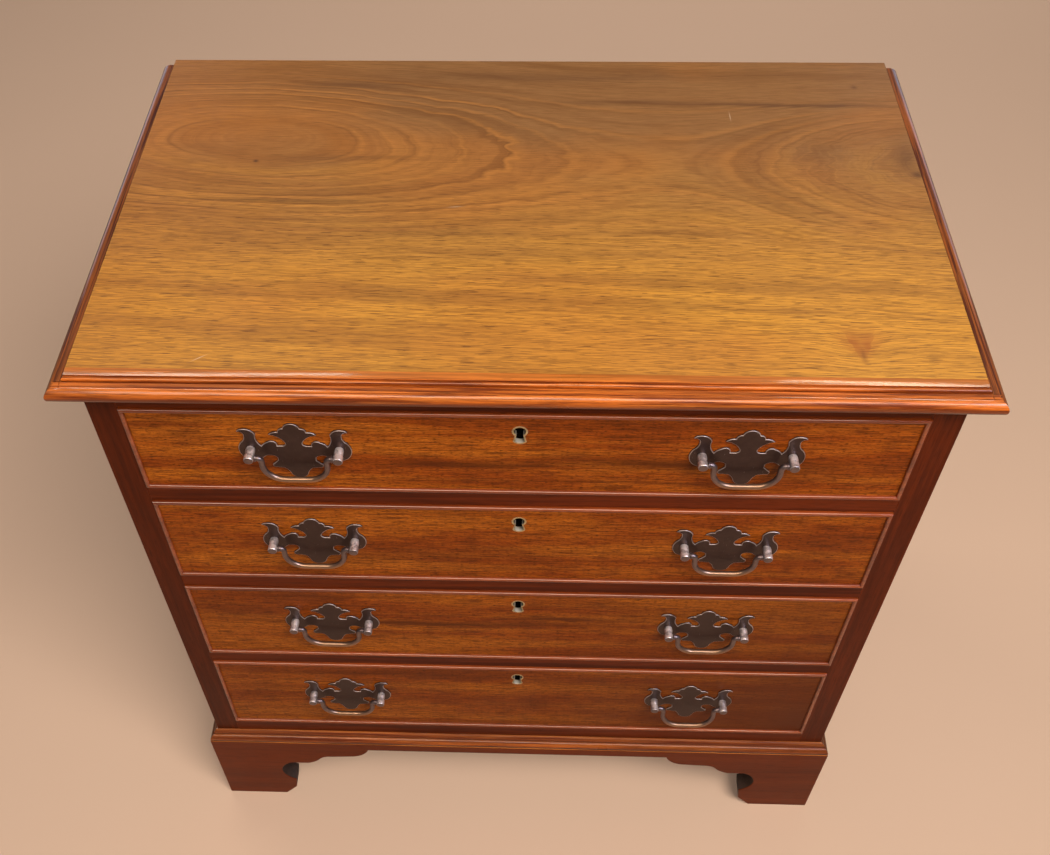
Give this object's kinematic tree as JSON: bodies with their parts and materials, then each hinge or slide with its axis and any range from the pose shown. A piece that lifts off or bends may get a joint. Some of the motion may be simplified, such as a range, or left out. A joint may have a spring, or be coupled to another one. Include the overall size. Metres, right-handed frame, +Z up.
{
  "type": "bachelors chest",
  "caption": "Small wooden chest of graduated drawers with a moulded top, cock-beaded fronts, batwing plates with swinging bails, locks, and shaped bracket feet.",
  "frame": {"origin": "on the floor, under the middle of the overall width and depth", "axes": "+X to the right as seen from the front, +Y to the back, +Z up; the drawers open along -Y"},
  "size_m": [0.76, 0.466, 0.78],
  "materials": {
    "top_veneer": "French polished",
    "case_wood": "French polished",
    "front_veneer": "French polished",
    "moulding_wood": "French polished",
    "bead_wood": "French polished",
    "lining_wood": "bare, dry",
    "plate_brass": "dark patina",
    "handle_brass": "worn patina",
    "lock_brass": "satin",
    "bolt_steel": "satin"
  },
  "bodies": {
    "carcass": {"top_board": "top_veneer", "side_left": "case_wood", "side_right": "case_wood", "back_panel": "lining_wood", "top_rail": "case_wood", "drawer_rails": "case_wood", "bottom_rail": "case_wood", "bottom_board": "lining_wood", "drawer_runners": "lining_wood", "drawer_stops": "lining_wood", "base_moulding": "moulding_wood", "plinth_front": "case_wood", "plinth_left": "case_wood", "plinth_right": "case_wood", "rear_brackets": "lining_wood", "corner_blocks": "lining_wood"},
    "drawer_1": {"drawer_1_front": "front_veneer", "drawer_1_sides": "lining_wood", "drawer_1_back": "lining_wood", "drawer_1_bottom": "lining_wood", "drawer_1_cock_beads": "bead_wood", "drawer_1_lock": "lock_brass", "drawer_1_back_plates": "plate_brass", "drawer_1_posts": "handle_brass"},
    "drawer_1_lock_bolt": {"drawer_1_lock_bolt": "bolt_steel"},
    "drawer_1_bail_left": {"drawer_1_bail_left": "handle_brass"},
    "drawer_1_bail_right": {"drawer_1_bail_right": "handle_brass"},
    "drawer_2": {"drawer_2_front": "front_veneer", "drawer_2_sides": "lining_wood", "drawer_2_back": "lining_wood", "drawer_2_bottom": "lining_wood", "drawer_2_cock_beads": "bead_wood", "drawer_2_lock": "lock_brass", "drawer_2_back_plates": "plate_brass", "drawer_2_posts": "handle_brass"},
    "drawer_2_lock_bolt": {"drawer_2_lock_bolt": "bolt_steel"},
    "drawer_2_bail_left": {"drawer_2_bail_left": "handle_brass"},
    "drawer_2_bail_right": {"drawer_2_bail_right": "handle_brass"},
    "drawer_3": {"drawer_3_front": "front_veneer", "drawer_3_sides": "lining_wood", "drawer_3_back": "lining_wood", "drawer_3_bottom": "lining_wood", "drawer_3_cock_beads": "bead_wood", "drawer_3_lock": "lock_brass", "drawer_3_back_plates": "plate_brass", "drawer_3_posts": "handle_brass"},
    "drawer_3_lock_bolt": {"drawer_3_lock_bolt": "bolt_steel"},
    "drawer_3_bail_left": {"drawer_3_bail_left": "handle_brass"},
    "drawer_3_bail_right": {"drawer_3_bail_right": "handle_brass"},
    "drawer_4": {"drawer_4_front": "front_veneer", "drawer_4_sides": "lining_wood", "drawer_4_back": "lining_wood", "drawer_4_bottom": "lining_wood", "drawer_4_cock_beads": "bead_wood", "drawer_4_lock": "lock_brass", "drawer_4_back_plates": "plate_brass", "drawer_4_posts": "handle_brass"},
    "drawer_4_lock_bolt": {"drawer_4_lock_bolt": "bolt_steel"},
    "drawer_4_bail_left": {"drawer_4_bail_left": "handle_brass"},
    "drawer_4_bail_right": {"drawer_4_bail_right": "handle_brass"}
  },
  "joints": [
    {"name": "drawer_1_slide", "type": "slide", "parent": "carcass", "child": "drawer_1", "axis": [0, -1, 0], "range_m": [0, 0.3]},
    {"name": "drawer_1_lock_slide", "type": "slide", "parent": "drawer_1", "child": "drawer_1_lock_bolt", "axis": [0, 0, 1], "range_m": [0, 0.007]},
    {"name": "drawer_1_bail_left_swing", "type": "hinge", "parent": "drawer_1", "child": "drawer_1_bail_left", "pos_m": [-0.192, -0.225, 0.68675], "axis": [-1, 0, 0], "range_deg": [-15, 195]},
    {"name": "drawer_1_bail_right_swing", "type": "hinge", "parent": "drawer_1", "child": "drawer_1_bail_right", "pos_m": [0.192, -0.225, 0.68675], "axis": [-1, 0, 0], "range_deg": [-15, 195]},
    {"name": "drawer_2_slide", "type": "slide", "parent": "carcass", "child": "drawer_2", "axis": [0, -1, 0], "range_m": [0, 0.3]},
    {"name": "drawer_2_lock_slide", "type": "slide", "parent": "drawer_2", "child": "drawer_2_lock_bolt", "axis": [0, 0, 1], "range_m": [0, 0.007]},
    {"name": "drawer_2_bail_left_swing", "type": "hinge", "parent": "drawer_2", "child": "drawer_2_bail_left", "pos_m": [-0.192, -0.225, 0.554], "axis": [-1, 0, 0], "range_deg": [-15, 195]},
    {"name": "drawer_2_bail_right_swing", "type": "hinge", "parent": "drawer_2", "child": "drawer_2_bail_right", "pos_m": [0.192, -0.225, 0.554], "axis": [-1, 0, 0], "range_deg": [-15, 195]},
    {"name": "drawer_3_slide", "type": "slide", "parent": "carcass", "child": "drawer_3", "axis": [0, -1, 0], "range_m": [0, 0.3]},
    {"name": "drawer_3_lock_slide", "type": "slide", "parent": "drawer_3", "child": "drawer_3_lock_bolt", "axis": [0, 0, 1], "range_m": [0, 0.007]},
    {"name": "drawer_3_bail_left_swing", "type": "hinge", "parent": "drawer_3", "child": "drawer_3_bail_left", "pos_m": [-0.192, -0.225, 0.40975], "axis": [-1, 0, 0], "range_deg": [-15, 195]},
    {"name": "drawer_3_bail_right_swing", "type": "hinge", "parent": "drawer_3", "child": "drawer_3_bail_right", "pos_m": [0.192, -0.225, 0.40975], "axis": [-1, 0, 0], "range_deg": [-15, 195]},
    {"name": "drawer_4_slide", "type": "slide", "parent": "carcass", "child": "drawer_4", "axis": [0, -1, 0], "range_m": [0, 0.3]},
    {"name": "drawer_4_lock_slide", "type": "slide", "parent": "drawer_4", "child": "drawer_4_lock_bolt", "axis": [0, 0, 1], "range_m": [0, 0.007]},
    {"name": "drawer_4_bail_left_swing", "type": "hinge", "parent": "drawer_4", "child": "drawer_4_bail_left", "pos_m": [-0.192, -0.225, 0.25575], "axis": [-1, 0, 0], "range_deg": [-15, 195]},
    {"name": "drawer_4_bail_right_swing", "type": "hinge", "parent": "drawer_4", "child": "drawer_4_bail_right", "pos_m": [0.192, -0.225, 0.25575], "axis": [-1, 0, 0], "range_deg": [-26, 184]}
  ]
}
